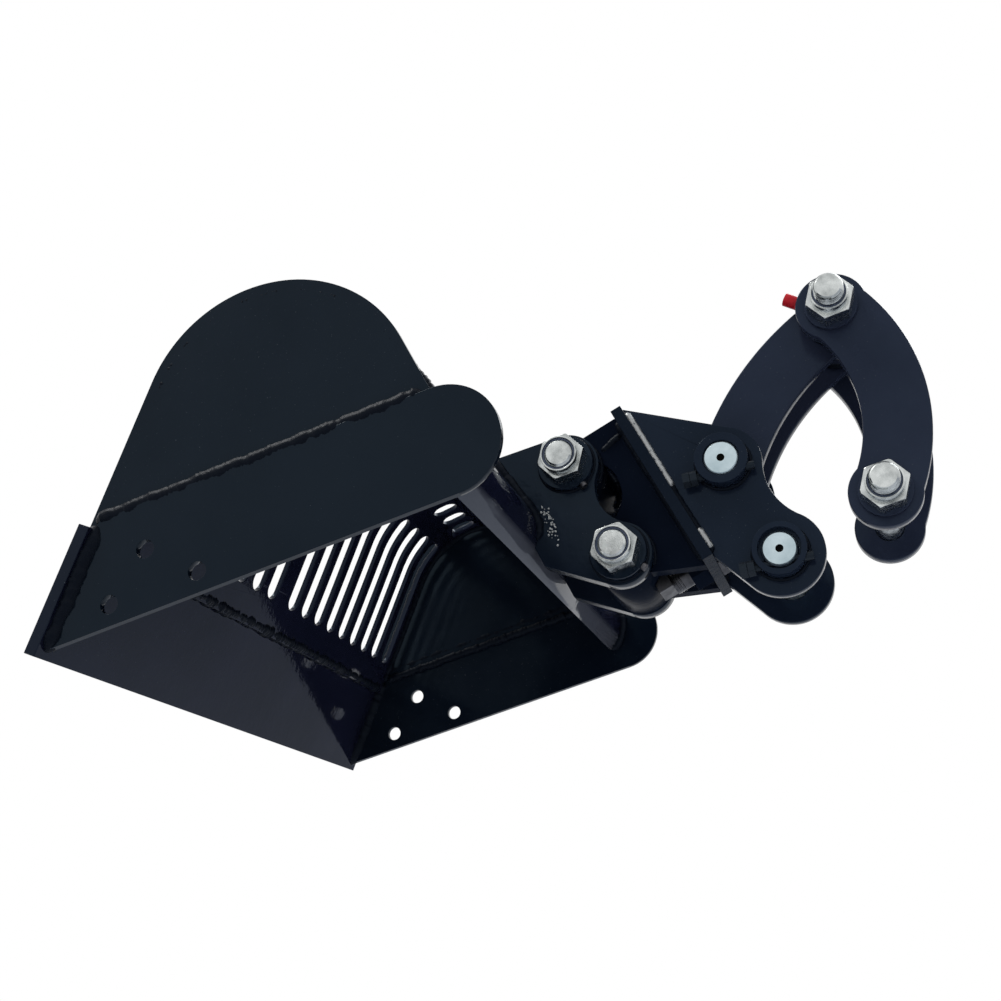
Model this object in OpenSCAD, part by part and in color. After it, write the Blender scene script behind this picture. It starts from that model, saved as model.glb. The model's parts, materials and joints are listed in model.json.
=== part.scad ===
// Slotted bucket of a mini excavator with its bolted hitch, clamp screw and tipping linkage.
// Origin on the dipper pivot at mid width. X runs along the mouth towards the arm, Y across the width,
// Z up, with the mouth facing down.
// Names ending near lie at negative Y, names ending far are their mirror images.

/* [Bucket shell] */
// Overall width over the side strips
body_w = 500; // [300:10:700]
// Height of the mouth plane over the dipper pivot
mouth_z = 36; // [0:1:80]
// Centre of the rounded back, left of the dipper pivot
back_x = -258; // [-320:1:-200]
// Centre of the rounded back over the mouth plane
back_rise = 94; // [70:1:130]
// Radius of the side sheets round the back
back_r = 92; // [70:1:120]
// Angle between the floor and the mouth plane
floor_angle = 53; // [40:1:65]
// Length of the floor from the cutting edge to the start of the back
floor_len = 186; // [140:1:240]
// Length of the lip plate
lip_len = 85; // [50:1:120]
// Thickness of the lip plate
lip_t = 8; // [5:1:16]
// How far the lip plate stands out past each side strip
lip_proud = 7; // [0:1:10]
// Thickness of the wrapper sheet
wrap_t = 4; // [2:0.5:8]
// How far the wrapper lies inside the outline of the side sheets
wrap_inset = 8; // [4:1:15]
// Lean of the rear face of the wrapper
rear_lean = 20; // [10:1:26]
// Radius of the bend at the rear rim of the wrapper
tail_r = 30; // [20:1:40]
// Height of the centre of that bend over the mouth plane
tail_rise = 46; // [40:1:54]
// How far that bend turns past level
tail_turn = 66; // [40:1:80]
// How far the wrapper floor laps over the lip plate
lip_lap = 5; // [2:1:15]
// Thickness of the side sheets
side_t = 4; // [2:0.5:8]
// How far the side sheets lap behind the side strips
side_lap = 6; // [3:1:20]
// Lean of the rear edge of the side sheets
side_lean = 12; // [6:1:16]

/* [Side strips] */
// Thickness of the side strips
strip_t = 5; // [4:1:12]
// Width of the side strips
strip_w = 70; // [40:1:100]
// Centre of the round strip end, left of the dipper pivot
strip_end_x = -159; // [-200:1:-130]
// Diameter of the tooth holes
hole_d = 12; // [8:0.5:20]
// Distance between the two holes next to the mouth
hole_base = 60; // [40:1:80]
// Height of the third hole over the other two
hole_rise = 26; // [15:1:40]
// Middle of the hole group, left of the dipper pivot
hole_x = -356; // [-380:1:-320]
// Height of the two lower holes over the mouth plane
hole_margin = 13.5; // [10:0.5:25]

/* [Screening slots] */
// Slots in each half of the wrapper
slot_count = 9; // [4:1:12]
// Width of each slot
slot_w = 16.5; // [6:0.5:20]
// Distance of the first slots from mid width
slot_first = 19; // [10:0.5:30]
// Distance of the last slots from the side sheets
slot_margin = 16.4; // [10:0.2:30]
// Start of the long slots on the floor, from the cutting edge
slot_start = 101; // [90:1:140]
// End of the long slots round the back, as an angle from level
slot_end_angle = 117; // [110:1:140]
// Upper end of the short slots round the back
short_high_angle = 103; // [95:1:115]
// Lower end of the short slots round the back
short_low_angle = 88; // [60:1:98]

/* [Ears] */
// Gap between the ears
ear_gap = 76; // [50:1:120]
// Thickness of each ear
ear_t = 12; // [6:1:20]
// Radius of the ear lobes
ear_r = 23; // [18:1:32]
// Radius of the hollow between the lobes
ear_hollow_r = 30; // [20:1:60]
// Foot of the ears, left of the dipper pivot
ear_foot_x = -157; // [-162:1:-150]
// Height of the ear foot over the mouth plane
ear_foot_rise = 11; // [6:1:16]
// Outer diameter of the ear bosses
ear_boss_d = 40; // [32:1:50]
// Height of the ear bosses
ear_boss_h = 6; // [3:0.5:12]

/* [Hitch] */
// Lean of the whole hitch
hitch_lean = 12; // [0:1:20]
// Distance between the two pivots of the hitch
pivot_pitch = 77; // [60:1:110]
// Level distance from the pivots to the bucket bolts, along the hitch
bolt_reach = 94; // [80:1:130]
// Height of the lower bucket bolt along the hitch
bolt_low = 58; // [40:1:80]
// Distance between the two bucket bolts
bolt_pitch = 78; // [60:1:110]
// Distance of the cross plate from the pivots
cross_x = -47.5; // [-60:0.5:-40]
// Thickness of the cross plate
cross_t = 8; // [5:1:14]
// Lower end of the cross plate
cross_low = 22; // [10:1:30]
// Height of the cross plate
cross_h = 131; // [100:1:160]
// Width of the cross plate
cross_w = 104; // [90:1:130]
// Inner gap between the lug plates
lug_gap = 72; // [50:1:110]
// Thickness of the lug plates
lug_t = 8; // [5:1:14]
// Radius of the lug lobe at the dipper pivot
lug_r1 = 30; // [24:1:40]
// Radius of the lug lobe at the link pivot
lug_r2 = 27; // [22:1:36]
// Radius of the hollow between the lug lobes
lug_hollow_r = 45; // [30:1:80]
// Thickness of the web plates
web_t = 12; // [6:1:16]
// Clearance between the hitch and the ears
ear_side_gap = 0.3; // [0.1:0.1:1]
// Radius of the hollow in the edge of the web plates
throat_r = 29; // [20:1:34]
// Centre of that hollow along the hitch
throat_x = -97; // [-105:1:-90]
// Height of the centre of the hollow
throat_z = 113; // [105:1:118]
// Height of the web plates over the upper bucket bolt
web_rise = 17; // [14:1:22]
// Outer diameter of the hubs on the bucket bolts
bolt_hub_d = 45; // [34:1:46]
// Height where the lower edge of the web plates meets the lower hub, along the hitch
web_heel = 39; // [34:1:50]
// Recess in the bosses of the dipper pivot
recess_d = 29.5; // [26:0.5:34]
// Depth of that recess
recess_h = 5; // [1:0.5:8]
// How far the dipper pin ends lie inside the bosses
pin_sunk = 2; // [0:0.5:5]
// Outer diameter of the pivot bosses
boss_d = 37; // [30:1:46]
// Height of the pivot bosses
boss_h = 13; // [6:1:20]
// Diameter of the pivot pins
pin_d = 25; // [16:1:35]
// Diameter of the grease hole in the pin ends
grease_d = 5.5; // [4:0.5:8]
// Depth of the grease hole
grease_depth = 8; // [4:1:15]
// Diameter of the pin retaining bolts
keeper_d = 6; // [5:1:10]
// Width across flats of the retaining bolts
keeper_flats = 10; // [8:1:17]
// Thickness of their heads and nuts
keeper_head_h = 5; // [4:0.5:8]
// How far the retaining bolts pass under the pin axis
keeper_drop = 8.5; // [0:0.5:10]
// Tilt of the retaining bolts
keeper_tilt = 7.5; // [0:0.5:20]
// Free end of the retaining bolts past the boss
keeper_tail = 2.5; // [1:0.5:10]

/* [Clamp screw] */
// Diameter of the clamp screw
screw_d = 16; // [12:1:20]
// Height of the screw along the hitch
screw_z = 34; // [32:1:38]
// Width across flats of the screw head and its nut
screw_flats = 24; // [19:1:30]
// Thickness of the screw head
screw_head_h = 10; // [6:1:14]
// Length of the nut on the cross plate
screw_nut_l = 13; // [8:1:16]
// Width of the clamp shoe
shoe_w = 24; // [16:1:40]
// Length of the clamp shoe under the lower hub
shoe_l = 11; // [8:1:16]
// Height of the clamp shoe
shoe_h = 14; // [10:1:18]
// Lower side of the clamp shoe under the screw axis
shoe_drop = 4; // [2:1:6]
// Right side of the shoe when it is clamped
shoe_right = -74; // [-76:1:-70]
// Gap between the shoe and the hub
shoe_gap = 0.3; // [0.2:0.1:1]

/* [Linkage] */
// Position of the rod pivot towards the arm
rod_x = 92; // [70:1:120]
// Height of the rod pivot
rod_z = 157; // [130:1:180]
// Position of the dipper end of the rocker towards the arm
rock_x = 79; // [60:1:100]
// Height of the dipper end of the rocker
rock_z = 15; // [-10:1:40]
// Centre radius of the tipping link
link_arc_r = 195; // [120:1:400]
// Width of the tipping link
link_w = 45; // [30:1:60]
// Thickness of the tipping link plates
link_t = 8; // [5:1:14]
// Gap between the tipping link plates
link_gap = 32; // [20:1:50]
// Radius of the lobes at the ends of the tipping link
link_lobe_r = 25; // [20:1:32]
// Centre radius of the rocker plates
rocker_arc_r = 122; // [90:1:240]
// Width of the rocker plates
rocker_w = 46; // [30:1:60]
// Thickness of the rocker plates
rocker_t = 10; // [5:1:14]
// Gap between the rocker plates
rocker_gap = 74; // [50:1:110]
// Radius of the lobes at the ends of the rocker plates
rocker_lobe_r = 25; // [20:1:32]
// Outer diameter of the linkage hubs
hub_d = 38; // [30:1:46]
// How far the rod pivot hubs stand out between the link plates
hub_lip = 1; // [0.5:0.5:4]

/* [Fasteners] */
// Diameter of the large bolts
bolt_d = 20; // [12:1:30]
// Width across flats of the large nuts and heads
nut_flats = 30; // [19:1:46]
// Height of the hexagon of the large nuts
nut_hex_h = 14; // [8:1:24]
// Height of the collar that holds the nylon ring
nut_collar_h = 6; // [3:0.5:10]
// Outer diameter of that collar
nut_collar_d = 26; // [18:1:40]
// Height of the nylon ring
nylon_h = 3; // [1:0.5:5]
// Thickness of the nylon ring
nylon_t = 1.6; // [0.8:0.1:3]
// Height of the bolt heads
head_h = 12.5; // [8:0.5:18]
// Diameter of the washers
washer_d = 37; // [24:1:50]
// Thickness of the washers
washer_t = 3; // [1:0.5:5]
// Bolt end past the nut on the rocker
bolt_tail = 10; // [0:1:20]
// Bolt end past the nut on the ears
ear_bolt_tail = 1; // [0:1:20]
// Chamfer on the ends of bolts and pins
end_chamfer = 1.5; // [0.5:0.5:3]
// Diameter of the grease nipples
nipple_d = 6; // [4:0.5:10]
// Length of the grease nipples
nipple_l = 12; // [5:0.5:15]
// Angle of the nipples on the rod pivot hubs
nipple_angle = 136; // [90:1:180]
// Diameter of the nipple caps
cap_d = 9.5; // [7:0.5:14]
// Length of the nipple caps
cap_l = 12; // [5:0.5:14]
// Running clearance round turning pins
run_gap = 0.05; // [0.01:0.01:0.1]
// Clearance round fixed pins, bolts and hubs
seat_gap = 0.2; // [0.1:0.05:0.3]
// How far a round end stands over the straight edges that run into it
ease = 0.05; // [0.02:0.01:0.1]
// Gap between faces that turn past each other
face_gap = 0.3; // [0.1:0.1:0.6]

/* [Hidden] */
half_w = body_w/2;
back_z = mouth_z + back_rise;
floor_dir = [cos(floor_angle), sin(floor_angle)];
floor_out = [-sin(floor_angle), cos(floor_angle)];
back_c = [back_x, back_z];
floor_top = back_c + back_r*floor_out;
edge_out = floor_top - floor_len*floor_dir;
edge_in = edge_out - lip_t*floor_out;
side_out = half_w - strip_t;
side_in = side_out - side_t;
wrap_r = back_r - wrap_inset;
wrap_top = back_c + wrap_r*floor_out;
rear_out = [cos(rear_lean), sin(rear_lean)];
// The bend at the rim touches the rear face, which touches the round back
tail_z = mouth_z + tail_rise;
tail_c = [back_x + (wrap_r - tail_r - (tail_z - back_z)*sin(rear_lean))/cos(rear_lean), tail_z];
side_rear = back_c + back_r*[cos(side_lean), sin(side_lean)];
wrap_low = edge_out + (lip_len - lip_lap)*floor_dir - wrap_inset*floor_out;
strip_top = mouth_z + strip_w;
strip_r = strip_w/2;
strip_c = [strip_end_x, mouth_z + strip_r];
slot_r = slot_w/2;
slot_pitch = (side_in - slot_margin - slot_first)/(slot_count - 1);
slot_end_r = slot_r + ease;
slot_foot = edge_out + (slot_start + slot_r)*floor_dir - wrap_inset*floor_out;
slot_reach = 2*wrap_inset;
slot_in = wrap_r - slot_reach;
slot_out = wrap_r + slot_reach;
slot_turn = asin(slot_r/wrap_r);
ear_in = ear_gap/2;
ear_out = ear_in + ear_t;
ear_end = ear_out + ear_boss_h;
foot_z = mouth_z + ear_foot_rise;
shoulder_z = back_z + wrap_inset;
web_out = ear_in - ear_side_gap;
web_in = web_out - web_t;
bolt_hub_r = bolt_hub_d/2;
bolt_hi = bolt_low + bolt_pitch;
bolt_x = -bolt_reach;
bolt_r = bolt_d/2;
bore_r = bolt_r + seat_gap;
cross_top = cross_low + cross_h;
cross_right = cross_x + cross_t;
lug_in = lug_gap/2;
lug_out = lug_in + lug_t;
boss_out = lug_out + boss_h;
pin_r = pin_d/2;
pin_bore = pin_r + seat_gap;
boss_r = boss_d/2;
keeper_r = keeper_d/2;
keeper_y = lug_out + boss_h/2;
screw_r = screw_d/2;
screw_bore = screw_r + run_gap;
shoe_left = shoe_right - shoe_l;
shoe_low = screw_z - shoe_drop;
nut_left = cross_x - screw_nut_l;
screw_tip = shoe_right + run_gap;
screw_head = cross_right + run_gap;
rod_p = [rod_x, rod_z];
rock_p = [rock_x, rock_z];
pin_p = [0, 0];
link_p = turned([0, pivot_pitch]);
low_p = turned([bolt_x, bolt_low]);
high_p = turned([bolt_x, bolt_hi]);
link_in = link_gap/2;
link_out = link_in + link_t;
rocker_in = rocker_gap/2;
rocker_out = rocker_in + rocker_t;
washer_out = rocker_out + washer_t;
hub_r = hub_d/2;
hub_start = link_in - hub_lip;
hub_end = rocker_in - face_gap;
hub_mid = (link_out + hub_end)/2;
link_hub_end = lug_in - face_gap;
nut_h = nut_hex_h + nut_collar_h;
nylon_r = bore_r + nylon_t;
six = 6;
round_fn = 96;
small_fn = 48;
$fn = round_fn;

// A point of the hitch, which leans back over the pivots, in the frame of the bucket
function turned(p) =
    [p[0]*cos(hitch_lean) - p[1]*sin(hitch_lean), p[0]*sin(hitch_lean) + p[1]*cos(hitch_lean)];
// The point at distance a from p and b from q, on the right hand of the way from p to q
function beside(p, q, a, b) =
    let (d = norm(q - p), u = (q - p)/d, s = (d*d + a*a - b*b)/(2*d), h = sqrt(a*a - s*s))
    p + s*u + h*[u[1], -u[0]];
// Where a line from p touches the circle round c, on the left hand for a positive side
function touching(p, c, r, side) =
    let (d = norm(c - p), u = (c - p)/d, a = side*asin(r/d), k = sqrt(d*d - r*r))
    p + k*[u[0]*cos(a) - u[1]*sin(a), u[0]*sin(a) + u[1]*cos(a)];
function on_back(angle, r) = back_c + r*[cos(angle), sin(angle)];
function heading(c, p) = atan2(p[1] - c[1], p[0] - c[0]);
function across_corners(flats) = flats/cos(180/six);

// A flat shape in X and Z, thickened from y0 to y1
module slab(y0, y1) {
    translate([0, y1, 0]) rotate([90, 0, 0]) linear_extrude(y1 - y0) children();
}

// A round bar along Y
module bar(p, y0, y1, r) {
    translate([p[0], y0, p[1]]) rotate([-90, 0, 0]) cylinder(h = y1 - y0, r = r);
}

// A tube along Y
module tube(p, y0, y1, r, hole_r) {
    difference() {
        bar(p, y0, y1, r);
        bar(p, y0 - r, y1 + r, hole_r);
    }
}

// A bar along Y with a chamfer at each end
module chamfered_bar(p, y0, y1, r, c) {
    translate([p[0], y0, p[1]]) rotate([-90, 0, 0]) {
        cylinder(h = c, r1 = r - c, r2 = r);
        translate([0, 0, c]) cylinder(h = y1 - y0 - 2*c, r = r);
        translate([0, 0, y1 - y0 - c]) cylinder(h = c, r1 = r, r2 = r - c);
    }
}

// A hexagon along Y with its corners turned off
module hexagon(p, y0, y1, flats) {
    corner_r = across_corners(flats)/2;
    intersection() {
        translate([p[0], y0, p[1]]) rotate([-90, 0, 0])
            cylinder(h = y1 - y0, r = corner_r, $fn = six);
        chamfered_bar(p, y0, y1, corner_r + end_chamfer/2, end_chamfer);
    }
}

module at_hitch() {
    rotate([0, -hitch_lean, 0]) children();
}

module far_side() {
    mirror([0, 1, 0]) children();
}

module both_sides() {
    children();
    far_side() children();
}

// A band between two radii and two angles
module arc_band(c, r_in, r_out, low, high) {
    half = (high - low)/2;
    mid = (high + low)/2;
    translate(c) intersection() {
        difference() {
            circle(r = r_out);
            circle(r = r_in);
        }
        polygon([pin_p, r_out*[cos(low), sin(low)], r_out/cos(half)*[cos(mid), sin(mid)],
            r_out*[cos(high), sin(high)]]);
    }
}

// A curved bar with round ends and a middle line of radius arc_r, hollow to the right on the way from p to q
module curved_bar(p, q, arc_r, width, lobe_r) {
    c = beside(p, q, arc_r, arc_r);
    arc_band(c, arc_r - width/2, arc_r + width/2, heading(c, q), heading(c, p));
    translate(p) circle(r = lobe_r);
    translate(q) circle(r = lobe_r);
}

// A plate with a straight back from foot to shoulder, two lobes and a hollow edge between the lobes
module lobed_plate(foot, shoulder, p, q, rp, rq, hollow_r) {
    c = beside(p, q, rp + hollow_r, rq + hollow_r);
    difference() {
        polygon([foot, touching(foot, p, rp, -1), p, c, q, touching(shoulder, q, rq, 1), shoulder]);
        translate(c) circle(r = hollow_r + ease);
    }
    translate(p) circle(r = rp + ease);
    translate(q) circle(r = rq + ease);
}

module lip_shape() {
    lip_end = lip_len*floor_dir;
    polygon([edge_out, edge_in, edge_in + lip_end, edge_out + lip_end]);
}

module lip_plate() {
    color([0.04, 0.04, 0.05]) slab(-half_w - lip_proud, half_w + lip_proud) lip_shape();
}

module wrapper_outline(inset) {
    shift = inset*floor_out;
    translate(back_c) circle(r = wrap_r - inset + ease);
    translate(tail_c) circle(r = tail_r - inset + ease);
    polygon([[wrap_low[0] - inset, tail_z - inset], [tail_c[0], tail_z - inset],
        tail_c + (tail_r - inset)*rear_out, back_c + (wrap_r - inset)*rear_out,
        back_c, wrap_top - shift, wrap_low - shift - 2*inset*floor_dir]);
}

// The mouth of the bucket, from the start of the floor to the end of the bend at the rim
module mouth_cut() {
    polygon([tail_c, [wrap_low[0], tail_z], [wrap_low[0], tail_z - wrap_r],
        tail_c + wrap_r*[cos(tail_turn), -sin(tail_turn)]]);
}

module wrapper_shape() {
    difference() {
        wrapper_outline(0);
        wrapper_outline(wrap_t);
        mouth_cut();
    }
}

// The straight sides of a slot, cut through the wrapper from one angle to a point inside and one outside
module slot_sides(y, low, inside, outside) {
    slab(y - slot_r, y + slot_r)
        polygon([inside, on_back(low, slot_in), on_back(low, slot_out), outside]);
}

// A round end of a slot, drilled towards the centre of the back
module slot_end(y, angle) {
    translate([back_x, y, back_z]) rotate([0, -angle, 0]) translate([wrap_r, 0, 0])
        rotate([0, 90, 0])
            cylinder(h = 3*slot_reach, r = slot_end_r, center = true, $fn = small_fn);
}

// The round end of a long slot on the flat floor
module slot_foot_end(y) {
    translate([slot_foot[0], y, slot_foot[1]]) rotate([0, -floor_angle, 0])
        cylinder(h = 3*slot_reach, r = slot_end_r, center = true, $fn = small_fn);
}

module slot_pair(y) {
    long_end = slot_end_angle + slot_turn;
    short_low = short_low_angle + slot_turn;
    short_high = short_high_angle - slot_turn;
    slot_sides(y, long_end, slot_foot - slot_reach*floor_out, slot_foot + 2*slot_reach*floor_out);
    slot_foot_end(y);
    slot_end(y, long_end);
    slot_sides(y, short_low, on_back(short_high, slot_in), on_back(short_high, slot_out));
    slot_end(y, short_low);
    slot_end(y, short_high);
}

module wrapper() {
    color([0.03, 0.03, 0.04]) difference() {
        slab(-side_in, side_in) wrapper_shape();
        for (i = [0:slot_count - 1]) {
            slot_pair(slot_first + i*slot_pitch);
            slot_pair(-slot_first - i*slot_pitch);
        }
    }
}

module side_shape() {
    low_z = strip_top - side_lap;
    low_point = edge_in + (low_z - edge_in[1])/sin(floor_angle)*floor_dir;
    low_rear = [side_rear[0] + (side_rear[1] - low_z)*tan(side_lean), low_z];
    difference() {
        union() {
            translate(back_c) circle(r = back_r);
            polygon([low_point, low_rear, side_rear, back_c, floor_top,
                edge_out + lip_len*floor_dir]);
        }
        lip_shape();
        translate([back_x - 2*back_r, low_z - 2*back_r]) square([4*back_r, 2*back_r]);
    }
}

module side_sheet_near() {
    color([0.05, 0.06, 0.07]) slab(-side_out, -side_in) side_shape();
}

module side_sheet_far() {
    far_side() side_sheet_near();
}

module strip_shape() {
    low_point = edge_in + (mouth_z - edge_in[1])/sin(floor_angle)*floor_dir;
    high_point = edge_in + (strip_top - edge_in[1])/sin(floor_angle)*floor_dir;
    hole_z = mouth_z + hole_margin;
    difference() {
        union() {
            polygon([low_point, [strip_end_x, mouth_z], [strip_end_x, strip_top], high_point]);
            translate(strip_c) circle(r = strip_r);
        }
        for (p = [[hole_x - hole_base/2, hole_z], [hole_x + hole_base/2, hole_z],
                [hole_x, hole_z + hole_rise]])
            translate(p) circle(d = hole_d, $fn = small_fn);
    }
}

module side_strip_near() {
    color([0.04, 0.05, 0.06]) slab(-half_w, -side_out) strip_shape();
}

module side_strip_far() {
    far_side() side_strip_near();
}

module ear_shape() {
    difference() {
        lobed_plate([ear_foot_x, foot_z], [back_x + wrap_r, shoulder_z], low_p, high_p, ear_r, ear_r,
            ear_hollow_r);
        wrapper_outline(0);
        translate(low_p) circle(r = bore_r);
        translate(high_p) circle(r = bore_r);
    }
}

module ear_near() {
    color([0.05, 0.06, 0.07]) slab(-ear_out, -ear_in) ear_shape();
}

module ear_far() {
    far_side() ear_near();
}

module ear_bosses() {
    color([0.05, 0.06, 0.07]) both_sides() {
        tube(low_p, -ear_end, -ear_out, ear_boss_d/2, bore_r);
        tube(high_p, -ear_end, -ear_out, ear_boss_d/2, bore_r);
    }
}

// A small screw that points out of a boss rim at an angle, from one radius to another
module radial_stud(p, y, angle, r0, r1, r) {
    translate([p[0], y, p[1]]) rotate([0, -angle, 0]) translate([r0, 0, 0]) rotate([0, 90, 0])
        cylinder(h = r1 - r0, r = r, $fn = small_fn);
}

module ear_nipples() {
    y = -ear_end + ear_boss_h/2;
    start = ear_boss_d/2 - end_chamfer;
    end = ear_boss_d/2 + nipple_d/2;
    color([0.75, 0.76, 0.74]) difference() {
        union() {
            radial_stud(high_p, y, -70, start, end, nipple_d/2 - seat_gap);
            radial_stud(low_p, y, -50, start, end, nipple_d/2 - seat_gap);
        }
        bar(high_p, -ear_end - nipple_d, -ear_out + nipple_d, ear_boss_d/2 + seat_gap);
        bar(low_p, -ear_end - nipple_d, -ear_out + nipple_d, ear_boss_d/2 + seat_gap);
    }
}

// A bolt along Y with its end on the near side and its head on the far side
module through_bolt(p, end_y, seat_y) {
    chamfered_bar(p, end_y, seat_y + head_h, bolt_r, end_chamfer);
    hexagon(p, seat_y, seat_y + head_h, nut_flats);
}

// A locking nut, its collar towards the near side and hollow for the nylon ring
module lock_nut(p, seat_y) {
    difference() {
        union() {
            hexagon(p, seat_y - nut_hex_h, seat_y, nut_flats);
            bar(p, seat_y - nut_h, seat_y - nut_hex_h + end_chamfer, nut_collar_d/2);
        }
        bar(p, seat_y - nut_h - nut_flats, seat_y + nut_flats, bore_r);
        bar(p, seat_y - nut_h - nut_flats, seat_y - nut_h + nylon_h, nylon_r);
    }
}

module nylon_ring(p, seat_y) {
    tube(p, seat_y - nut_h + end_chamfer/2, seat_y - nut_h + nylon_h, nylon_r - seat_gap/2, bore_r);
}

module bucket_bolts() {
    end_y = -ear_end - nut_h - ear_bolt_tail;
    color([0.78, 0.80, 0.80]) {
        through_bolt(low_p, end_y, ear_end);
        through_bolt(high_p, end_y, ear_end);
    }
}

module bucket_nuts() {
    color([0.70, 0.71, 0.69]) {
        lock_nut(low_p, -ear_end);
        lock_nut(high_p, -ear_end);
    }
}

module bucket_nut_rings() {
    color([0.16, 0.18, 0.22]) {
        nylon_ring(low_p, -ear_end);
        nylon_ring(high_p, -ear_end);
    }
}

module cross_plate() {
    color([0.05, 0.06, 0.07]) at_hitch() difference() {
        translate([cross_x, -cross_w/2, cross_low]) cube([cross_t, cross_w, cross_h]);
        translate([cross_x - cross_t, 0, screw_z]) rotate([0, 90, 0])
            cylinder(h = 3*cross_t, r = screw_bore);
    }
}

module web_shape() {
    low = [bolt_x, bolt_low];
    high = [bolt_x, bolt_hi];
    difference() {
        polygon([[cross_x, cross_low], [cross_x, cross_top], [bolt_x, bolt_hi + web_rise], high,
            [throat_x, throat_z], low, [bolt_x + bolt_r, web_heel]]);
        translate([throat_x, throat_z]) circle(r = throat_r);
        translate(high) circle(r = bolt_hub_r + seat_gap);
        translate(low) circle(r = bolt_hub_r + seat_gap);
    }
}

module web_plate_near() {
    color([0.06, 0.06, 0.08]) at_hitch() slab(-web_out, -web_in) web_shape();
}

module web_plate_far() {
    far_side() web_plate_near();
}

module bolt_hubs() {
    color([0.05, 0.06, 0.07]) {
        tube(low_p, -web_out, web_out, bolt_hub_r, bore_r);
        tube(high_p, -web_out, web_out, bolt_hub_r, bore_r);
    }
}

module lug_shape() {
    pivot = [0, pivot_pitch];
    difference() {
        lobed_plate([cross_right, cross_low], [cross_right, cross_top], pin_p, pivot, lug_r1, lug_r2,
            lug_hollow_r);
        circle(r = pin_bore);
        translate(pivot) circle(r = pin_bore);
    }
}

module lug_plate_near() {
    color([0.09, 0.11, 0.13]) at_hitch() slab(-lug_out, -lug_in) lug_shape();
}

module lug_plate_far() {
    far_side() lug_plate_near();
}

// The hole of a retaining bolt through a boss and its pin
module keeper_line(p, from, to, r) {
    translate([p[0], -keeper_y, p[1]]) rotate([0, keeper_tilt, 0])
        translate([from, 0, -keeper_drop]) rotate([0, 90, 0])
            cylinder(h = to - from, r = r, $fn = small_fn);
}

module keeper_hole(p) {
    keeper_line(p, -boss_d, boss_d, keeper_r + seat_gap);
}

module dipper_bosses() {
    color([0.05, 0.06, 0.07]) difference() {
        both_sides() difference() {
            tube(pin_p, -boss_out, -lug_out, boss_r, pin_bore);
            bar(pin_p, -boss_out - recess_h, -boss_out + recess_h, recess_d/2);
        }
        keeper_hole(pin_p);
    }
}

module link_bosses() {
    color([0.05, 0.06, 0.07]) difference() {
        both_sides() tube(link_p, -boss_out, -lug_out, boss_r, pin_bore);
        keeper_hole(link_p);
    }
}

// A pivot pin with a grease hole in its near end and a hole for its retaining bolt
module pivot_pin(p, end_y) {
    difference() {
        chamfered_bar(p, -end_y, end_y, pin_r, end_chamfer);
        bar(p, -end_y - grease_depth, -end_y + grease_depth, grease_d/2);
        keeper_hole(p);
    }
}

module dipper_pin() {
    color([0.80, 0.84, 0.85]) pivot_pin(pin_p, boss_out - pin_sunk);
}

module link_pin() {
    color([0.80, 0.84, 0.85]) pivot_pin(link_p, boss_out);
}

// A hexagon on the line of a retaining bolt
module keeper_hex(p, from, to) {
    translate([p[0], -keeper_y, p[1]]) rotate([0, keeper_tilt, 0])
        translate([from, 0, -keeper_drop]) rotate([0, 90, 0])
            cylinder(h = to - from, d = across_corners(keeper_flats), $fn = six);
}

module keeper_bolt(p) {
    nut_left = -boss_r - seat_gap - keeper_head_h;
    keeper_line(p, nut_left - seat_gap - keeper_head_h, boss_r + keeper_tail, keeper_r);
    keeper_hex(p, nut_left - seat_gap - keeper_head_h, nut_left - seat_gap);
}

module keeper_bolts() {
    color([0.20, 0.21, 0.23]) {
        keeper_bolt(pin_p);
        keeper_bolt(link_p);
    }
}

module keeper_nut(p) {
    difference() {
        keeper_hex(p, -boss_r - seat_gap - keeper_head_h, -boss_r - seat_gap);
        keeper_hole(p);
    }
}

module keeper_nuts() {
    color([0.06, 0.07, 0.08]) {
        keeper_nut(pin_p);
        keeper_nut(link_p);
    }
}

// A round bar along the clamp screw
module screw_bar(from, to, r) {
    translate([from, 0, screw_z]) rotate([0, 90, 0]) cylinder(h = to - from, r = r);
}

// A hexagon along the clamp screw
module screw_hex(from, to) {
    translate([from, 0, screw_z]) rotate([0, 90, 0])
        cylinder(h = to - from, d = across_corners(screw_flats), $fn = six);
}

module screw_nut() {
    color([0.05, 0.05, 0.06]) at_hitch() difference() {
        screw_hex(nut_left, cross_x);
        screw_bar(nut_left - screw_nut_l, cross_right, screw_bore);
    }
}

module clamp_screw() {
    color([0.35, 0.36, 0.38]) at_hitch() {
        screw_bar(screw_tip, screw_head + screw_head_h, screw_r);
        screw_hex(screw_head, screw_head + screw_head_h);
    }
}

module shoe_shape() {
    difference() {
        translate([shoe_left, shoe_low]) square([shoe_l, shoe_h]);
        translate([bolt_x, bolt_low]) circle(r = bolt_hub_r + shoe_gap);
    }
}

module clamp_shoe() {
    color([0.16, 0.16, 0.17]) at_hitch() slab(-shoe_w/2, shoe_w/2) shoe_shape();
}

module link_plate_near() {
    color([0.09, 0.11, 0.13]) slab(-link_out, -link_in) difference() {
        curved_bar(link_p, rod_p, link_arc_r, link_w, link_lobe_r);
        translate(link_p) circle(r = hub_r + seat_gap);
        translate(rod_p) circle(r = hub_r + seat_gap);
    }
}

module link_plate_far() {
    far_side() link_plate_near();
}

module link_hub() {
    color([0.05, 0.05, 0.06]) tube(link_p, -link_hub_end, link_hub_end, hub_r, pin_r + run_gap);
}

module rod_hubs() {
    color([0.05, 0.05, 0.06]) both_sides()
        tube(rod_p, -hub_end, -hub_start, hub_r, bolt_r + run_gap);
}

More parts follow.
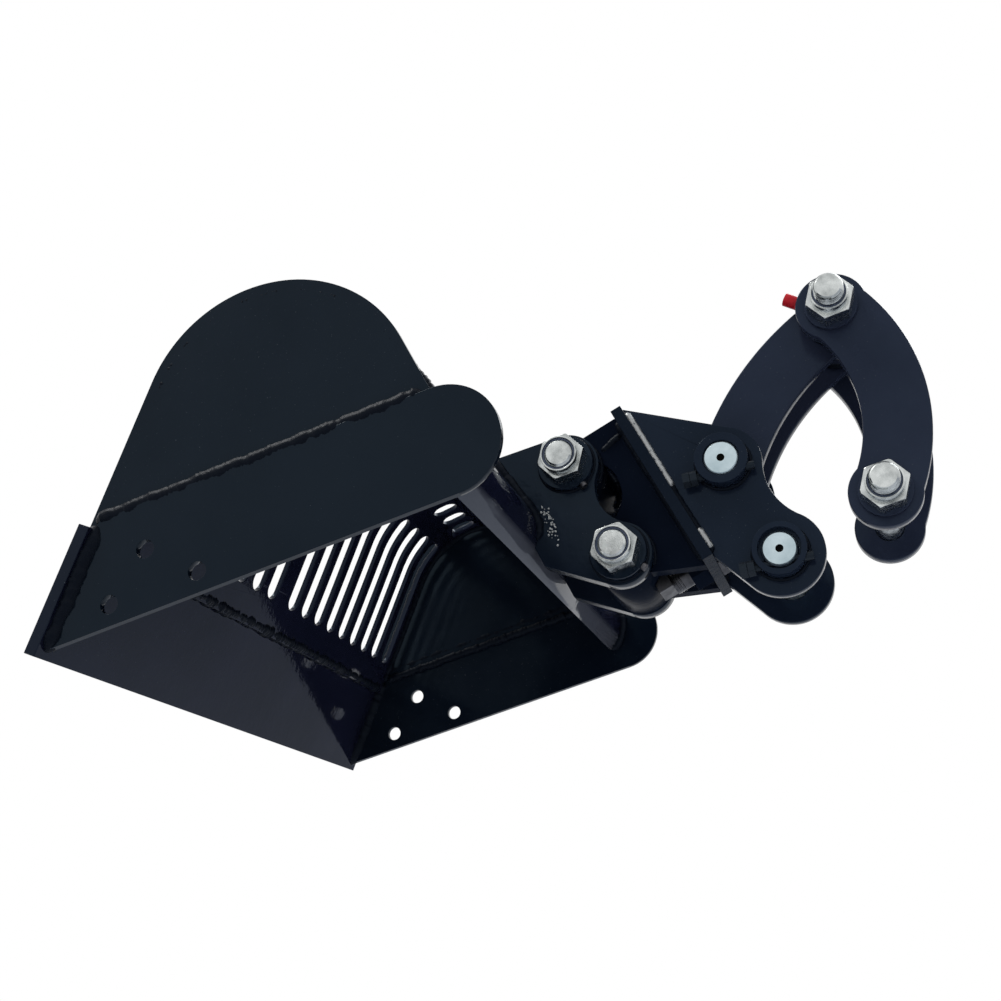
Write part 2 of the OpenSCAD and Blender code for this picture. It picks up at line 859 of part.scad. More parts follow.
module rocker_plate_near() {
    color([0.09, 0.11, 0.13]) slab(-rocker_out, -rocker_in) difference() {
        curved_bar(rod_p, rock_p, rocker_arc_r, rocker_w, rocker_lobe_r);
        translate(rod_p) circle(r = bore_r);
        translate(rock_p) circle(r = bore_r);
    }
}

module rocker_plate_far() {
    far_side() rocker_plate_near();
}

module rocker_washers() {
    color([0.62, 0.63, 0.62]) both_sides() {
        tube(rod_p, -washer_out, -rocker_out, washer_d/2, bore_r);
        tube(rock_p, -washer_out, -rocker_out, washer_d/2, bore_r);
    }
}

module rocker_bolts() {
    end_y = -washer_out - nut_h - bolt_tail;
    color([0.78, 0.80, 0.80]) {
        through_bolt(rod_p, end_y, washer_out);
        through_bolt(rock_p, end_y, washer_out);
    }
}

module rocker_nuts() {
    color([0.70, 0.71, 0.69]) {
        lock_nut(rod_p, -washer_out);
        lock_nut(rock_p, -washer_out);
    }
}

module rocker_nut_rings() {
    color([0.16, 0.18, 0.22]) {
        nylon_ring(rod_p, -washer_out);
        nylon_ring(rock_p, -washer_out);
    }
}

module hub_nipples() {
    start = hub_r - end_chamfer;
    color([0.75, 0.76, 0.74]) both_sides() difference() {
        radial_stud(rod_p, -hub_mid, nipple_angle, start, hub_r + nipple_l, nipple_d/2);
        bar(rod_p, -hub_end - nipple_d, -hub_start + nipple_d, hub_r + seat_gap);
    }
}

module nipple_caps() {
    color([0.80, 0.05, 0.06]) both_sides() difference() {
        radial_stud(rod_p, -hub_mid, nipple_angle, hub_r + nipple_l/2, hub_r + nipple_l/2 + cap_l,
            cap_d/2);
        radial_stud(rod_p, -hub_mid, nipple_angle, hub_r, hub_r + nipple_l + seat_gap,
            nipple_d/2 + seat_gap);
    }
}

wrapper();
lip_plate();
side_sheet_near();
side_sheet_far();
side_strip_near();
side_strip_far();
ear_near();
ear_far();
ear_bosses();
ear_nipples();
bucket_bolts();
bucket_nuts();
bucket_nut_rings();
cross_plate();
web_plate_near();
web_plate_far();
bolt_hubs();
lug_plate_near();
lug_plate_far();
dipper_bosses();
link_bosses();
dipper_pin();
link_pin();
keeper_bolts();
keeper_nuts();
screw_nut();
clamp_screw();
clamp_shoe();
link_plate_near();
link_plate_far();
link_hub();
rod_hubs();
rocker_plate_near();
rocker_plate_far();
rocker_bolts();
rocker_washers();
rocker_nuts();
rocker_nut_rings();
hub_nipples();
nipple_caps();
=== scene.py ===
import json
import math
import random

import bmesh
import bpy
from mathutils import Matrix, Vector, noise


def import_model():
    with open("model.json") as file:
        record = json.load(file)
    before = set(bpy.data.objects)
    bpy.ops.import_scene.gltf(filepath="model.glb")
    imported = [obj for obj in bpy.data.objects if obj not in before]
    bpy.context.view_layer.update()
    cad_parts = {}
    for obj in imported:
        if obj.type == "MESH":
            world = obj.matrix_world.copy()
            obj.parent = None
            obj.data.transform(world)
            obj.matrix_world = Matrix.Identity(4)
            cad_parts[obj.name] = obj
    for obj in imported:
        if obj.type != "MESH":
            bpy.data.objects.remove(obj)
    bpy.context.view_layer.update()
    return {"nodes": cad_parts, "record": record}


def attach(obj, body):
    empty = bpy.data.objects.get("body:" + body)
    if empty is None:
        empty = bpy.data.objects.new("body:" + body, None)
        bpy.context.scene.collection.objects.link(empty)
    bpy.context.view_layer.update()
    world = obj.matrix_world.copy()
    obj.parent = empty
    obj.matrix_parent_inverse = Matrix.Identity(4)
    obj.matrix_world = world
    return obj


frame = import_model()
MM = 0.001

# Camera of the photo: its place in metres, its sensor in millimetres, its focal length in pixels
CAMERA_AT = Vector((0.0005, -0.9958, -0.2891))
CAMERA_RIGHT = Vector((0.92302, 0.27652, -0.26755))
CAMERA_UP = Vector((0.34357, -0.27917, 0.89667))
CAMERA_BACK = Vector((0.17324, -0.91956, -0.35269))
SENSOR = 36.0
FOCAL_PX = 1441.87
FRAME_PX = 1001.0
SHIFT_X = -0.00701
SHIFT_Y = 0.04217
CLIP_NEAR = 0.01
CLIP_FAR = 50

# Studio, in metres
FLOOR_Z = -0.62
FLOOR_HALF = 3
FLOOR_GREY = (0.78, 0.78, 0.78)
WHITE = (1, 1, 1)
SKY_LOW = (0.26, 0.27, 0.30)
SKY_HIGH = (0.38, 0.42, 0.50)

# Sizes of the bucket in millimetres, where the dressing follows them
MOUTH_Z = 36
FLOOR_TILT = 53
FLOOR_ANGLE = math.radians(FLOOR_TILT)
FLOOR_DIR = Vector((math.cos(FLOOR_ANGLE), 0, math.sin(FLOOR_ANGLE)))
FLOOR_OUT = Vector((-math.sin(FLOOR_ANGLE), 0, math.cos(FLOOR_ANGLE)))
EDGE_OUT = Vector((-443.4, 0, 36.9))
EDGE_IN = Vector((-437.0, 0, 32.1))
LIP_LEN = 85
LIP_T = 8
LIP_LAP = 5
WRAP_START = LIP_LEN - LIP_LAP
WRAP_T = 4
WRAP_INSET = 8
BACK_RISE = 94
BACK_C = Vector((-258, 0, MOUTH_Z + BACK_RISE))
BACK_R = 92
WRAP_R = BACK_R - WRAP_INSET
REAR_LEAN = 20
TAIL_RISE = 46
TAIL_C = Vector((-183.06, 0, MOUTH_Z + TAIL_RISE))
TAIL_R = 30
TAIL_TURN = 66
TAIL_BEAD_GAP = 2
STRIP_T = 5
STRIP_W = 70
SIDE_T = 4
SIDE_LAP = 6
STRIP_OUT = 250
SHEET_OUT = STRIP_OUT - STRIP_T
SHEET_IN = SHEET_OUT - SIDE_T
STRIP_TOP = MOUTH_Z + STRIP_W
SHEET_LOW = STRIP_TOP - SIDE_LAP
EAR_IN = 38
EAR_T = 12
EAR_OUT = EAR_IN + EAR_T
EAR_TOP = 137
EAR_BOSS_R = 20
EAR_ROOT_TURN = 28

# Ends of the beads on the upper edge of each strip, outside and inside the side sheet
STRIP_BEAD_X = (-386, -164)
INNER_BEAD_X = (-380, -174)

# Weld spatter on the near ear
SPATTER_LOW = (-148, -50.2, 58)
SPATTER_HIGH = (-141, -50.0, 90)
SPATTER_R = (0.35, 1.0)
SPATTER_COUNT = 50
SPATTER_SEED = 3

# Sizes of the hitch, with x and z along its lean
LEAN = math.radians(12)
BOLT_LOW = Vector((-94, 0, 58))
BOLT_HIGH = Vector((-94, 0, 136))
DIPPER_PIVOT = Vector((0, 0, 0))
LINK_PIVOT = Vector((0, 0, 77))
CROSS_REAR = -47.5
CROSS_T = 8
CROSS_FRONT = CROSS_REAR + CROSS_T
CROSS_LOW = 22
CROSS_H = 131
CROSS_TOP = CROSS_LOW + CROSS_H
LUG_IN = 36
LUG_T = 8
LUG_OUT = LUG_IN + LUG_T
LUG_BOSS_R = 18.5
WEB_GAP = 0.3
WEB_T = 12
WEB_OUT = EAR_IN - WEB_GAP
WEB_IN = WEB_OUT - WEB_T
BOLT_HUB_R = 22.5
SCREW_FOOT = Vector((-74, 0, 34))
SCREW_R = 8
SCREW_PITCH = 2.0
SCREW_THREAD = (1.0, 7.2)
SCREW_RIDGE = 0.5

# Where a hub's bead runs, in degrees round each bucket bolt
LOW_HUB_ARC = (-46, 82)
HIGH_HUB_ARC = (-58, 40)

# Heights between which the weld in front of the cross plate is bare
BARE_LOW = (27, 46)
BARE_HIGH = (80, 149)

# A short bead high on each web plate, in the frame of the part
SPOT_ENDS = ((-95, 36.8, 119), (-77, 36.8, 127))

# Painted shade: a near-black disc a little inside the small hole in each pin
SHADE_DISC_R = 2.74
SHADE_DISC_T = 0.8
LINK_SHADE_Y = -55.8
DIPPER_SHADE_Y = -53.8

# Sizes of the linkage, in the frame of the part
ROD_PIVOT = Vector((92, 0, 157))
ROCKER_PIVOT = Vector((79, 0, 15))
LINK_HUB_R = 19
LINK_IN = 16
LINK_T = 8
LINK_OUT = LINK_IN + LINK_T
BOLT_R = 10
BOLT_PITCH = 2.5
BOLT_THREAD = (68.5, 78.8)
BOLT_RIDGE = 0.45

# A thread ridge: points in a turn and in its fade, half widths in pitches, and depth under the bar
THREAD_STEPS = 36
THREAD_FADE = 12
RIDGE_FOOT = 0.42
RIDGE_TOP = 0.08
RIDGE_SUNK = 0.1
THREAD_INSET = 0.05

# Weld beads: length of a step, points round a bead, noise per millimetre and shares of the radius
BEAD_STEP = 1.0
BEAD_SIDES = 8
LUMP_SCALE = 0.21
FINE_SCALE = 0.9
WANDER_SCALE = 0.13
WANDER_SHARE = 0.18
GRAIN_SCALE = 0.7
GRAIN_SHARE = 0.08
LEAST_AREA_SHARE = 0.02
NOISE_SEED = 1

# Colours that several looks share
DUST = (0.10, 0.11, 0.12)
# Painted reflection colour: a blue tint on the gloss of paint and weld, for a bluish sky in the reflections
PAINT_REFLECTION_TINT = (0.58, 0.80, 1.0)
WELD_REFLECTION_TINT = (0.75, 0.88, 1.0)

# Painted light on the outside of the bend at the wrapper's rim, a lighter bluish band for light from the
# ground:
# how deep it counts as outside, its top from the axis of the bend, and the lengths over which it fades in
RIM_PAINTED_LIGHT = (0.070, 0.074, 0.090)
RIM_DEPTH = 1.5
RIM_BLEND = 0.5
RIM_TOP = -17
RIM_FADE = 4


def at_hitch(point):
    """A point given along the leaning hitch, in the frame of the part."""
    x, y, z = point
    return Vector((x * math.cos(LEAN) - z * math.sin(LEAN), y, x * math.sin(LEAN) + z * math.cos(LEAN)))


def camera():
    data = bpy.data.cameras.new("camera")
    data.sensor_width = SENSOR
    data.lens = SENSOR * FOCAL_PX / FRAME_PX
    data.shift_x = SHIFT_X
    data.shift_y = SHIFT_Y
    data.clip_start = CLIP_NEAR
    data.clip_end = CLIP_FAR
    cam = bpy.data.objects.new("camera", data)
    bpy.context.scene.collection.objects.link(cam)
    turn = Matrix((CAMERA_RIGHT, CAMERA_UP, CAMERA_BACK)).transposed().to_4x4()
    cam.matrix_world = Matrix.Translation(CAMERA_AT) @ turn
    bpy.context.scene.camera = cam


# Nodes that the materials share
def new_material(name):
    mat = bpy.data.materials.new(name)
    mat.use_nodes = True
    return mat, mat.node_tree.nodes, mat.node_tree.links, mat.node_tree.nodes["Principled BSDF"]


def place_on_part(nodes):
    """The place of a point in metres, in the frame of the part."""
    return nodes.new("ShaderNodeTexCoord").outputs["Object"]


def noise_node(nodes, links, vector, scale, detail, rough=0.5):
    node = nodes.new("ShaderNodeTexNoise")
    node.inputs["Scale"].default_value = scale
    node.inputs["Detail"].default_value = detail
    node.inputs["Roughness"].default_value = rough
    links.new(vector, node.inputs["Vector"])
    return node.outputs["Fac"]


def ramp(nodes, links, fac, low, high):
    """Colours or plain values blended between two places of a factor."""
    node = nodes.new("ShaderNodeValToRGB")
    for element, (place, color) in zip(node.color_ramp.elements, (low, high)):
        element.position = place
        element.color = (*color, 1) if isinstance(color, tuple) else (color, color, color, 1)
    links.new(fac, node.inputs["Fac"])
    return node.outputs["Color"]


def mixed(nodes, links, factor, first, second):
    """Two colours mixed by a factor, each given as a socket or a tuple."""
    node = nodes.new("ShaderNodeMix")
    node.data_type = "RGBA"
    links.new(factor, node.inputs["Factor"])
    for name, color in (("A", first), ("B", second)):
        if isinstance(color, tuple):
            node.inputs[name].default_value = (*color, 1)
        else:
            links.new(color, node.inputs[name])
    return node.outputs["Result"]


def bump(nodes, links, height, strength, distance, below=None):
    node = nodes.new("ShaderNodeBump")
    node.inputs["Strength"].default_value = strength
    node.inputs["Distance"].default_value = distance
    links.new(height, node.inputs["Height"])
    if below is not None:
        links.new(below, node.inputs["Normal"])
    return node.outputs["Normal"]


def span(nodes, links, value, low, high):
    """A value that runs from 0 at one end of a range to 1 at the other, and stays there beyond."""
    node = nodes.new("ShaderNodeMapRange")
    node.inputs["From Min"].default_value = low
    node.inputs["From Max"].default_value = high
    links.new(value, node.inputs["Value"])
    return node.outputs["Result"]


def combined(nodes, links, operation, values):
    """Several plain values joined one after another by the same operation."""
    result = values[0]
    for value in values[1:]:
        node = nodes.new("ShaderNodeMath")
        node.operation = operation
        links.new(result, node.inputs[0])
        links.new(value, node.inputs[1])
        result = node.outputs["Value"]
    return result


def vector_node(nodes, links, operation, first, second=(0, 0, 0)):
    node = nodes.new("ShaderNodeVectorMath")
    node.operation = operation
    links.new(first, node.inputs[0])
    node.inputs[1].default_value = second
    return node


def rim_light_mask(nodes, links, vector):
    """A mask that is 1 on the outside of the bend at the wrapper's rim, where the light is painted, and 0
    on the rest of the wrapper.
    """
    from_axis = vector_node(nodes, links, "SUBTRACT", vector, TAIL_C * MM)
    flat = vector_node(nodes, links, "MULTIPLY", from_axis.outputs["Vector"], (1, 0, 1))
    reach = vector_node(nodes, links, "LENGTH", flat.outputs["Vector"])
    apart = nodes.new("ShaderNodeSeparateXYZ")
    links.new(from_axis.outputs["Vector"], apart.inputs["Vector"])
    inner = TAIL_R - RIM_DEPTH
    outside = span(nodes, links, reach.outputs["Value"], inner * MM, (inner + RIM_BLEND) * MM)
    low = span(nodes, links, apart.outputs["Z"], RIM_TOP * MM, (RIM_TOP - RIM_FADE) * MM)
    rear = span(nodes, links, apart.outputs["X"], 0, MM)
    return combined(nodes, links, "MULTIPLY", (outside, low, rear))


# Materials
def paint(name, dark, light, gloss=0.14, peel=0.25, wave=0.3, ior=1.27, painted_rim_light=False):
    """Glossy dark paint with orange peel, slow waves, faint clouds and specks of dust, and on request a
    painted light band at the wrapper's rim.
    """
    mat, nodes, links, shader = new_material(name)
    vector = place_on_part(nodes)
    mottle = noise_node(nodes, links, vector, scale=14, detail=4)
    base = ramp(nodes, links, mottle, (0.3, dark), (0.7, light))
    # Painted light: a lighter band on the outside of the rim's bend, for light from the ground
    if painted_rim_light:
        base = mixed(nodes, links, rim_light_mask(nodes, links, vector), base, RIM_PAINTED_LIGHT)
    grit = noise_node(nodes, links, vector, scale=900, detail=2)
    specks = ramp(nodes, links, grit, (0.72, 0.0), (0.80, 1.0))
    links.new(mixed(nodes, links, specks, base, DUST), shader.inputs["Base Color"])
    clouds = noise_node(nodes, links, vector, scale=35, detail=3)
    sheen = ramp(nodes, links, clouds, (0.3, gloss * 0.7), (0.75, gloss * 1.6))
    links.new(sheen, shader.inputs["Roughness"])
    orange_peel = noise_node(nodes, links, vector, scale=260, detail=2)
    fine = bump(nodes, links, orange_peel, strength=peel, distance=0.0004)
    slow = noise_node(nodes, links, vector, scale=28, detail=2)
    wide = bump(nodes, links, slow, strength=wave, distance=0.0012, below=fine)
    links.new(wide, shader.inputs["Normal"])
    shader.inputs["IOR"].default_value = ior
    # Painted reflection: the gloss of the paint is tinted blue
    shader.inputs["Specular Tint"].default_value = (*PAINT_REFLECTION_TINT, 1)
    return mat


def metal(name, dark, light, low, high, scale, peel=0.2):
    """Bare or plated steel with mottled colour, a roughness from low to high and a fine grain."""
    mat, nodes, links, shader = new_material(name)
    vector = place_on_part(nodes)
    mottle = noise_node(nodes, links, vector, scale, detail=5, rough=0.6)
    links.new(ramp(nodes, links, mottle, (0.32, dark), (0.68, light)), shader.inputs["Base Color"])
    patches = noise_node(nodes, links, vector, scale * 3, detail=3)
    links.new(ramp(nodes, links, patches, (0.3, low), (0.7, high)), shader.inputs["Roughness"])
    relief = noise_node(nodes, links, vector, scale * 8, detail=3)
    links.new(bump(nodes, links, relief, strength=peel, distance=0.0003), shader.inputs["Normal"])
    shader.inputs["Metallic"].default_value = 1.0
    return mat


def plastic(name, dark, light, low, high, ior=1.45):
    """Moulded plastic, and the near-black painted shade in the pin holes, with faint clouds, a roughness
    from low to high and a fine grain.
    """
    mat, nodes, links, shader = new_material(name)
    vector = place_on_part(nodes)
    shader.inputs["IOR"].default_value = ior
    clouds = noise_node(nodes, links, vector, scale=160, detail=3)
    links.new(ramp(nodes, links, clouds, (0.3, dark), (0.7, light)), shader.inputs["Base Color"])
    patches = noise_node(nodes, links, vector, scale=300, detail=2)
    links.new(ramp(nodes, links, patches, (0.3, low), (0.7, high)), shader.inputs["Roughness"])
    relief = noise_node(nodes, links, vector, scale=500, detail=2)
    links.new(bump(nodes, links, relief, strength=0.15, distance=0.0003), shader.inputs["Normal"])
    return mat


def weld(name, dark, light, share, low, high, ior=1.35):
    """Weld metal under paint that covers a share of it, rougher from low to high where it is bare."""
    mat, nodes, links, shader = new_material(name)
    vector = place_on_part(nodes)
    flakes = noise_node(nodes, links, vector, scale=210, detail=4, rough=0.65)
    patches = ramp(nodes, links, flakes, (share, 0.0), (share + 0.06, 1.0))
    links.new(mixed(nodes, links, patches, dark, light), shader.inputs["Base Color"])
    links.new(ramp(nodes, links, patches, (0.0, low), (1.0, high)), shader.inputs["Roughness"])
    links.new(ramp(nodes, links, patches, (0.0, 0.0), (1.0, 0.85)), shader.inputs["Metallic"])
    relief = noise_node(nodes, links, vector, scale=420, detail=4, rough=0.6)
    links.new(bump(nodes, links, relief, strength=0.5, distance=0.0008), shader.inputs["Normal"])
    shader.inputs["IOR"].default_value = ior
    # Painted reflection: the gloss of the weld is tinted blue
    shader.inputs["Specular Tint"].default_value = (*WELD_REFLECTION_TINT, 1)
    return mat


# The look of each material slot of the record
MATERIALS = {
    # The shell paint carries the painted light band at the wrapper's rim
    "shell_paint": paint("shell_paint", dark=(0.005, 0.006, 0.015), light=(0.009, 0.010, 0.024),
                         gloss=0.06, peel=0.14, wave=0.22, painted_rim_light=True),
    "side_paint": paint("side_paint", dark=(0.003, 0.006, 0.012), light=(0.006, 0.010, 0.017),
                        gloss=0.13, peel=0.16, wave=0.30),
    "ear_paint": paint("ear_paint", dark=(0.005, 0.009, 0.017), light=(0.010, 0.015, 0.026), peel=0.22),
    "hitch_paint": paint("hitch_paint", dark=(0.009, 0.014, 0.026), light=(0.015, 0.022, 0.038),
                         peel=0.28, ior=1.22),
    "linkage_paint": paint("linkage_paint", dark=(0.019, 0.024, 0.043), light=(0.028, 0.035, 0.059),
                           gloss=0.20, peel=0.28, ior=1.24),
    "pin_steel": metal("pin_steel", dark=(0.38, 0.48, 0.52), light=(0.54, 0.64, 0.68),
                       low=0.32, high=0.48, scale=60),
    "clamp_steel": metal("clamp_steel", dark=(0.05, 0.05, 0.055), light=(0.15, 0.15, 0.16),
                         low=0.32, high=0.50, scale=50),
    "zinc": metal("zinc", dark=(0.32, 0.34, 0.34), light=(0.70, 0.73, 0.72), low=0.16, high=0.34, scale=80),
    "keeper_steel": paint("keeper_steel", dark=(0.010, 0.013, 0.018), light=(0.020, 0.024, 0.030),
                          gloss=0.3, peel=0.4),
    "nylon": plastic("nylon", dark=(0.06, 0.08, 0.12), light=(0.10, 0.12, 0.18), low=0.4, high=0.55),
    "cap_plastic": plastic("cap_plastic", dark=(0.60, 0.01, 0.02), light=(0.80, 0.03, 0.04),
                           low=0.28, high=0.42, ior=1.25),
}

# Nodes drawn darker than their slot says. Painted shade: a darker, less reflective copy of the hitch paint
# on nodes in the shade of the hitch, and on the cross plate for the shade of the left-out dipper arm; dark
# steel on the ear nipples
SHADE_PAINT = paint("shade_paint", dark=(0.005, 0.008, 0.016), light=(0.009, 0.013, 0.024),
                    gloss=0.16, peel=0.28, ior=1.035)
# Painted shade on the cross plate, for the shade of the dipper arm that is left out
CROSS_SHADE_PAINT = paint("cross_shade_paint", dark=(0.009, 0.014, 0.023), light=(0.015, 0.021, 0.032),
                    gloss=0.20, peel=0.28, ior=1.08)
PAINTED_SHADE_AND_STEEL_NODES = {
    "web_plate_near": SHADE_PAINT,
    "web_plate_far": SHADE_PAINT,
    "bolt_hubs": SHADE_PAINT,
    "screw_nut": SHADE_PAINT,
    "cross_plate": CROSS_SHADE_PAINT,
    "ear_nipples": MATERIALS["clamp_steel"],
}

# Looks of the pieces that only the scene has
PAINTED_WELD = weld("painted_weld", dark=(0.005, 0.007, 0.012), light=(0.08, 0.09, 0.10),
                    share=0.93, low=0.36, high=0.46, ior=1.16)
BARE_WELD = weld("bare_weld", dark=(0.08, 0.085, 0.09), light=(0.36, 0.37, 0.37),
                 share=0.36, low=0.28, high=0.42)
# Painted shade: near-black and barely reflective, for the dark depth of the pin holes
HOLE_SHADE = plastic("grease", dark=(0.002, 0.002, 0.002), light=(0.006, 0.006, 0.005),
                 low=0.35, high=0.6, ior=1.06)

# Width of the bevel on a node's edges in millimetres, by how its name starts
BEVEL_WIDTH = {"wrapper": 0.5, "lip_plate": 0.6, "lug_plate": 0.7, "link_plate": 0.7, "rocker_plate": 0.8}
SMALL_BEVEL = 0.35
BEVEL_FROM = math.radians(40)
JOIN_WITHIN = 0.002


def dress_nodes():
    slots = {row["node"]: row["material_slot"] for row in frame["record"]["subparts"]}
    for name, node in frame["nodes"].items():
        node.data.materials.clear()
        # Nodes in the table above take their own look: painted shade for most of them, dark steel for the
        # ear nipples
        node.data.materials.append(PAINTED_SHADE_AND_STEEL_NODES.get(name) or MATERIALS[slots[name]])
        joined = node.modifiers.new("join", "WELD")
        joined.merge_threshold = JOIN_WITHIN * MM
        edge = node.modifiers.new("edge", "BEVEL")
        edge.width = next((w for key, w in BEVEL_WIDTH.items() if name.startswith(key)), SMALL_BEVEL) * MM
        edge.segments = 2
        edge.limit_method = "ANGLE"
        edge.angle_limit = BEVEL_FROM
        edge.miter_outer = "MITER_ARC"


# Meshes
def add_mesh(name, made, mat, body, smooth=True):
    mesh = bpy.data.meshes.new(name)
    made.to_mesh(mesh)
    made.free()
    for polygon in mesh.polygons:
        polygon.use_smooth = smooth
    mesh.materials.append(mat)
    obj = bpy.data.objects.new(name, mesh)
    bpy.context.scene.collection.objects.link(obj)
    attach(obj, body)


def skin(made, rings, closed=False):
    """Faces from each ring of points to the next, with a face over each end unless it is closed."""
    following = rings[1:] + rings[:1] if closed else rings[1:]
    for a, b in zip(rings, following):
        for k in range(len(a)):
            after = (k + 1) % len(a)
            made.faces.new((a[k], a[after], b[after], b[k]))
    if not closed:
        made.faces.new(list(reversed(rings[0])))
        made.faces.new(rings[-1])
    bmesh.ops.recalc_face_normals(made, faces=made.faces)


def resampled(points, step):
    """Points at an even step along a line of points."""
    out = []
    for a, b in zip(points, points[1:]):
        count = max(1, round((b - a).length / step))
        out += [a.lerp(b, i / count) for i in range(count)]
    return out + [points[-1]]


def bead_size(point, run, radius, ripple, pitch, rough):
    """Radius of a bead at a point: ripples along its run, and lumps large and small."""
    wave = ripple * (abs(math.sin(math.pi * run / pitch)) * 2 - 1)
    lump = noise.noise(point * LUMP_SCALE) * rough + noise.noise(point * FINE_SCALE) * rough * 0.5
    return radius * (1 + wave + lump)


def end_taper(steps_to_end, radius):
    """Share of a bead's size that is left at some steps from its nearer end."""
    return math.sqrt(max(LEAST_AREA_SHARE, min(1.0, steps_to_end / max(1.0, radius))))


def bead(name, points, radius, mat=PAINTED_WELD, body="bucket", ripple=0.07, pitch=3.4, rough=0.22,
         closed=False):
    """A rippled weld bead along a line of points in millimetres, with tapered ends unless it is closed."""
    path = resampled(points, BEAD_STEP)
    if closed:
        path = path[:-1]
    count = len(path)
    made, rings = bmesh.new(), []
    side = (path[1] - path[0]).orthogonal().normalized()
    run = 0.0
    for i, point in enumerate(path):
        before = path[i - 1] if closed or i else path[0]
        after = path[(i + 1) % count] if closed else path[min(i + 1, count - 1)]
        ahead = (after - before).normalized()
        side = (side - ahead * side.dot(ahead)).normalized()
        up = ahead.cross(side)
        run += (point - path[i - 1]).length if i else 0.0
        size = bead_size(point, run, radius, ripple, pitch, rough)
        if not closed:
            size *= end_taper(min(i, count - 1 - i), radius)
        centre = point + noise.noise_vector(point * WANDER_SCALE) * radius * WANDER_SHARE
        ring = []
        for k in range(BEAD_SIDES):
            angle = 2 * math.pi * k / BEAD_SIDES
            grain = 1 + GRAIN_SHARE * noise.noise((point + side * k * 3) * GRAIN_SCALE)
            place = centre + (side * math.cos(angle) + up * math.sin(angle)) * size * grain
            ring.append(made.verts.new(place * MM))
        rings.append(ring)
    skin(made, rings, closed)
    add_mesh(name, made, mat, body)


def both_sides(name, points, radius, **looks):
    """The same bead on the near and the far side of the mid plane."""
    for sign, side in ((-1, "near"), (1, "far")):
        bead(name + "_" + side, [Vector((p.x, sign * abs(p.y), p.z)) for p in points], radius, **looks)


def circle_points(centre, radius, y, low=0.0, high=360.0, steps=48):
    out = []
    for i in range(steps + 1):
        angle = math.radians(low + (high - low) * i / steps)
        out.append(Vector((centre.x + radius * math.cos(angle), y, centre.z + radius * math.sin(angle))))
    return out


# Weld beads of the bucket. A number added to a face is how far the middle of a bead lies off it.
def along_lip(distance, y, depth=0.0):
    """A point on the inner face of the lip or floor at a distance from the cutting edge."""
    point = EDGE_IN + FLOOR_DIR * distance - FLOOR_OUT * depth
    return Vector((point.x, y, point.z))


def wrapper_line(y, offset):
    """The profile of the wrapper at one width, offset outwards from its outer face."""
    start = EDGE_OUT + FLOOR_DIR * (LIP_LEN + 2) - FLOOR_OUT * (WRAP_INSET - offset)
    points = [Vector((start.x, y, start.z))]
    points += circle_points(BACK_C, WRAP_R + offset, y, 90 + FLOOR_TILT, REAR_LEAN, 32)
    return points + circle_points(TAIL_C, TAIL_R + offset, y, REAR_LEAN, TAIL_BEAD_GAP - TAIL_TURN, 16)


def ear_root(y, offset):
    """The line where an ear meets the rear face and the bend of the wrapper."""
    lean = math.radians(REAR_LEAN)
    top_x = BACK_C.x + (WRAP_R + offset - (EAR_TOP - BACK_C.z) * math.sin(lean)) / math.cos(lean)
    bend = circle_points(TAIL_C, TAIL_R + offset, y, REAR_LEAN, -EAR_ROOT_TURN, 12)
    return [Vector((top_x, y, EAR_TOP))] + bend


def shell_welds():
    strip_line = [Vector((x, SHEET_OUT + 0.8, STRIP_TOP + 0.6)) for x in STRIP_BEAD_X]
    both_sides("strip_bead", strip_line, radius=5.2, rough=0.12, ripple=0.02, pitch=6.5)
    front_line = [along_lip(distance, STRIP_OUT - 2.4) for distance in (5, LIP_LEN + 3)]
    both_sides("strip_front_bead", front_line, radius=7.4, rough=0.10, ripple=0.015, pitch=7.0)
    inner_line = [Vector((x, SHEET_IN + 1.8, SHEET_LOW - 0.6)) for x in INNER_BEAD_X]
    both_sides("strip_inner_bead", inner_line, radius=3.4, rough=0.35)
    lip_line = [along_lip(WRAP_START - 1.5, y, 0.8) for y in (2 - SHEET_IN, SHEET_IN - 2)]
    bead("lip_bead", lip_line, radius=4.6, rough=0.36, pitch=3.8)
    outer_line = [along_lip(LIP_LEN + 1, y, 1 - LIP_T) for y in (1 - SHEET_IN, SHEET_IN - 1)]
    bead("lip_outer_bead", outer_line, radius=3.6, rough=0.3)
    side_line = [along_lip(distance, SHEET_OUT) for distance in (6, LIP_LEN - 11)]
    both_sides("lip_side_bead", side_line, radius=3.0, rough=0.3)
    both_sides("back_bead", wrapper_line(SHEET_IN, 0.8), radius=3.6, rough=0.2)
    both_sides("back_inner_bead", wrapper_line(SHEET_IN, -WRAP_T - 0.4), radius=2.6, rough=0.3)


def ear_welds():
    for y, label in ((EAR_IN - 0.6, "inner"), (EAR_OUT + 0.8, "outer")):
        both_sides("ear_bead_" + label, ear_root(y, 0.6), radius=3.6, rough=0.12, ripple=0.02, pitch=5.5)
    for centre, label in ((at_hitch(BOLT_LOW), "low"), (at_hitch(BOLT_HIGH), "high")):
        points = circle_points(centre, EAR_BOSS_R + 0.3, EAR_OUT)
        both_sides("ear_boss_bead_" + label, points, radius=1.2, rough=0.12, ripple=0.02, closed=True)


# Weld beads of the hitch and linkage, with numbers added to faces in the same way
def hitch_line(x, y, low, high):
    """A line up the hitch from a low to a high place, in two halves."""
    return [at_hitch((x, y, z)) for z in (low, (low + high) / 2, high)]


